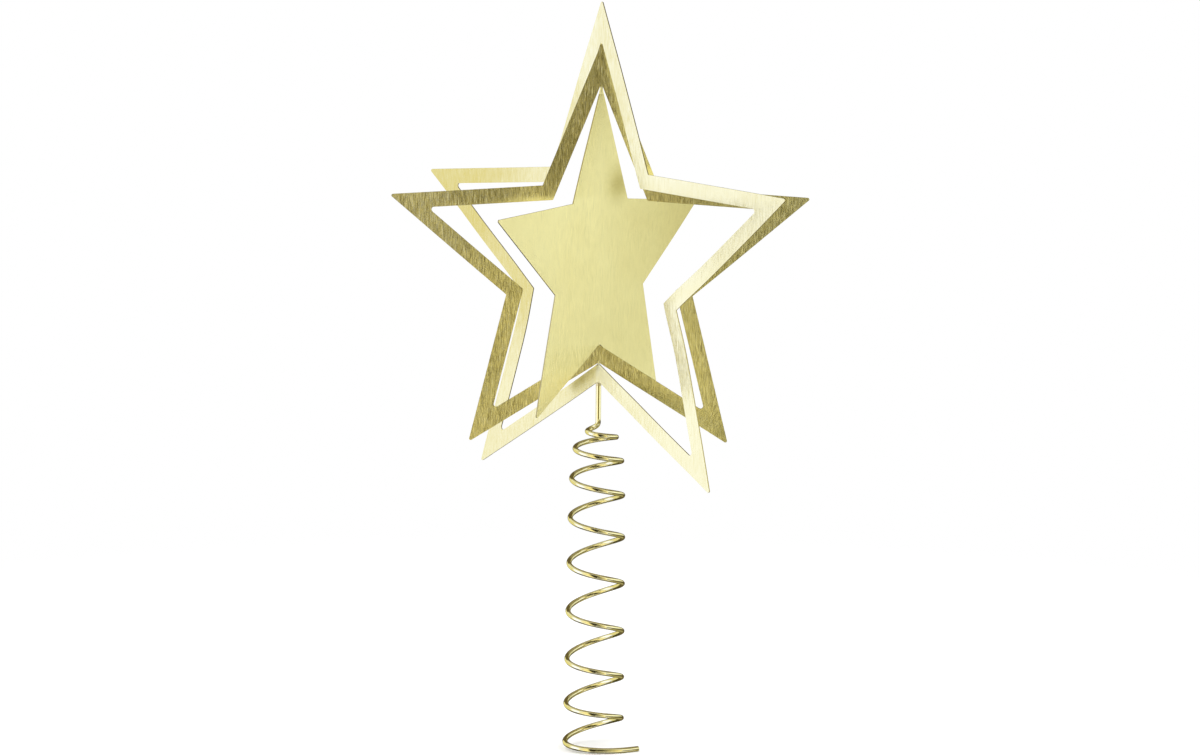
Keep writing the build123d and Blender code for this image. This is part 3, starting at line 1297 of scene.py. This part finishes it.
@dataclass
class TreeTopper:
    """The whole topper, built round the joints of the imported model."""

    pattern: StarPattern = StarPattern()
    outer_angle: float = -45.0
    middle_angle: float = 0.0
    inner_angle: float = 54.4
    smooth_lean: float = 0.55  # of the hairlines on the outer star, which shows them less
    lead_radii: float = 2.0  # straight start of the coil's piece, in radii of its wire
    top_twist: tuple[float, float] = (0.75, 1.0)  # shares of a tab's height where its twist starts and ends
    bottom_twist: tuple[float, float] = (0.0, 0.8)

    def __post_init__(self) -> None:
        """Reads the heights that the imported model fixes, and makes the finishes."""
        self.star_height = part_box("outer_star")[1].z - self._rounded_tip()
        self.stem_foot, self.seat = (corner.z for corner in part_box("stem"))
        self.sheet = BrushedSheet().material()
        self.smooth_sheet = BrushedSheet("smooth_brushed_brass", hair_lean=self.smooth_lean).material()
        self.wire = DrawnWire().material()
        self.braze = BrazeMetal().material()

    def _rounded_tip(self) -> float:
        """Height of the outer star's rounded top tip over its centre."""
        slope = self.pattern.tip_slope
        return self.pattern.tip_radius - self.pattern.tip_round * (math.hypot(1, slope) - 1)

    def _star(self, place: str, angle: float, **shape: Any) -> StarSheet:
        """A star, named for its place among the three."""
        names = (f"{place}_star_sheet", f"{place}_star", f"{place}_body")
        return StarSheet(*names, angle, self.star_height, thickness=self.pattern.thickness, **shape)

    def stars(self) -> list[StarSheet]:
        """The three stars, from the outermost."""
        pattern = self.pattern
        outer = self._star(
            "outer",
            self.outer_angle,
            outline=pattern.outer_outline(),
            opening=pattern.opening_outline(pattern.outer_opening),
            material=self.smooth_sheet,
            waves=(Wave(0.00018, 0.085, 0.12, 0.6), Wave(0.0001, -0.05, 0.07, 2.1)),
            pushes=(
                LegBend(direction=234.0, start=0.038, length=0.014, slope=-0.1),
                Bulge(0.038, -0.013, 0.015, -0.0015),
                Bulge(0.024, 0.033, 0.015, -0.0008),
                Bulge(0.043, -0.005, 0.012, -0.0006),
            ),
            # Painted shade: a soft dark reflection band on the left bar beside the crotch
            marks=(
                PaintedShadeSpot(-0.0049, -0.0405, 0.0028, 0.8),
                PaintedShadeSpot(-0.0086, -0.0440, 0.0028, 0.95),
                PaintedShadeSpot(-0.0122, -0.0470, 0.0028, 0.8),
            ),
        )
        middle = self._star(
            "middle",
            self.middle_angle,
            outline=pattern.carried_outline(pattern.middle_tip),
            opening=pattern.opening_outline(pattern.middle_opening),
            material=self.sheet,
            waves=(Wave(0.00018, 0.09, -0.11, 1.3), Wave(0.0001, 0.045, 0.06, 4.0)),
            pushes=tuple(LegBend(arm, start=0.035, length=0.03, slope=0.08) for arm in (18.0, 162.0)),
        )
        inner = self._star(
            "inner",
            self.inner_angle,
            outline=pattern.carried_outline(pattern.inner_tip),
            opening=None,
            material=self.sheet,
            rings=24,
            waves=(Wave(0.00015, 0.08, 0.13, 0.2),),
            # Painted shade: the right arm, the top leg and the lower part darker where reflections fall, and a
            # small darker spot at the base of the top leg
            marks=(
                PaintedShadeSpot(0.075, 0.010, 0.060, 0.62),
                PaintedShadeSpot(0.0, 0.068, 0.022, 0.36),
                PaintedShadeSpot(0.0, -0.040, 0.025, 0.2),
                PaintedShadeSpot(0.012, 0.031, 0.006, 0.55),
            ),
        )
        return [outer, middle, inner]

    def tabs(self) -> list[TwistTab]:
        """The four twist tabs, two in each opening."""
        pattern, centre = self.pattern, self.star_height
        joints = (
            ("outer", "outer_body", "middle_body", self.outer_angle, self.middle_angle,
             pattern.outer_opening, pattern.middle_tip),
            ("inner", "middle_body", "inner_body", self.middle_angle, self.inner_angle,
             pattern.middle_opening, pattern.inner_tip),
        )
        made = []
        for place, frame_body, carried_body, frame_angle, carried_angle, opening, carried in joints:
            top_low = centre + carried - pattern.tab_root_width / 2 * pattern.tip_slope
            top_high = centre + opening - pattern.tab_flat / 2 * pattern.tip_slope
            foot_low = centre - opening * pattern.notch_share - pattern.tab_flat / 2 * pattern.crotch_slope
            foot_high = centre - carried * pattern.notch_share + pattern.tab_relief
            top = (
                TabEnd(carried_body, top_low, pattern.tab_root_width, carried_angle),
                TabEnd(frame_body, top_high, pattern.tab_width, frame_angle),
            )
            bottom = (
                TabEnd(frame_body, foot_low, pattern.tab_width, frame_angle),
                TabEnd(carried_body, foot_high, pattern.tab_width, carried_angle),
            )
            for side, ends, twist in (("top", top, self.top_twist), ("bottom", bottom, self.bottom_twist)):
                names = (f"{place}_{side}_twist", f"{place}_{side}_tab")
                made.append(TwistTab(*names, *ends, frame_body, twist, self.sheet, pattern.thickness))
        return made

    def build(self) -> None:
        """Builds every piece and reports it."""
        for star in self.stars():
            report(star.build())
        twist = TwistTab.tree()
        for tab in self.tabs():
            report(tab.build(twist))
        bend = self.stem_foot - self.lead_radii * WireCoil.wire_radius
        report(WireCoil(self.wire, self.stem_foot, bend).build())
        report(WireStem(self.wire, self.stem_foot, self.seat).build())
        report(BrazeBead(self.braze, self.seat).build())


def report(piece: bpy.types.Object) -> None:
    """Logs a finished piece."""
    bodies = " and ".join(body_of(piece))
    log.info("%s: %d faces, moves with %s", piece.name, len(piece.data.polygons), bodies)


def studio() -> Studio:
    """Studio whose light and cards give the brass its tones."""
    stars: Point = (0.0, 0.0, 0.19)
    beside: Point = (0.0, 0.225, 0.065)  # what the two side cards face
    dark, amber, gold = (0.05, 0.042, 0.0136), (0.5, 0.44, 0.203), (1.25, 1.09, 0.5)
    pale, cool = (1.1, 1.03, 0.695), (1.2, 1.25, 1.525)
    front = ((0.0, gold), (0.22, amber), (0.335, dark), (0.585, dark), (0.68, gold), (1.0, pale))
    levels = ((0.405, 1.05), (0.425, 1.2), (0.447, 0.5), (0.62, 1.0))
    front_rise = tuple((share, (level, level, level)) for share, level in levels)
    ceiling = ((0.0, (0.14, 0.12, 0.059)), (0.5, (0.36, 0.32, 0.17)), (0.75, (1.0, 1.0, 0.78)))
    ground = ((0.3, (0.42, 0.38, 0.178)), (0.5, (0.08, 0.07, 0.0254)))
    left = ((0.05, (1.05, 0.98, 0.56)), (0.13, cool), (0.3, cool), (0.39, (0.86, 0.79, 0.381)))
    left_rise = ((0.52, (1.03, 1.04, 1.08)), (0.64, (0.98, 0.97, 0.92)), (0.78, (1.05, 1.08, 1.25)))
    right = ((0.4, (0.87, 0.86, 0.61)), (0.667, (1.2, 1.21, 1.0)))
    right_rise = ((0.41, (0.12, 0.1, 0.06)), (0.49, (1.0, 1.0, 1.0)))
    cards = (
        Card("front", (0.0, -2.6, 0.4), (0.0, 0.0, 0.4), 5.2, 7.0, front, front_rise),
        Card("table", (0.66, -2.0, -0.5), (0.0, 0.0, 0.15), 1.0, 0.5, ((0.0, (0.98, 0.93, 0.61)),)),
        Card("back", (0.0, 2.0, 0.2), stars, 3.4, 3.4, ((0.0, (0.14, 0.11, 0.042)),)),
        Card("ceiling", (0.0, 2.2, 2.4), (0.0, 2.2, 0.0), 11.0, 6.6, ceiling),
        Card("ground", (0.0, 1.2, -1.2), (0.0, 1.2, 0.0), 4.0, 3.4, ground),
        Card("left", (-0.45, 0.225, 0.065), beside, 1.35, 0.63, left, left_rise),
        Card("right", (0.45, 0.225, 0.065), beside, 1.35, 0.63, right, right_rise),
    )
    lamps = (
        Lamp("key", (-0.9, -0.6, 1.5), (0.0, 0.0, 0.05), 0.9, 9.0),
        Lamp("fill", (1.0, -0.4, 1.2), (0.0, 0.0, 0.05), 0.9, 4.0),
    )
    return Studio(cards=cards, lamps=lamps)


def main() -> None:
    """Builds the topper, its studio and its view."""
    logging.basicConfig(level=logging.INFO, format="%(name)s: %(message)s")
    TreeTopper().build()
    studio().build()
    Viewpoint().build()


if __name__ == "__main__":
    main()
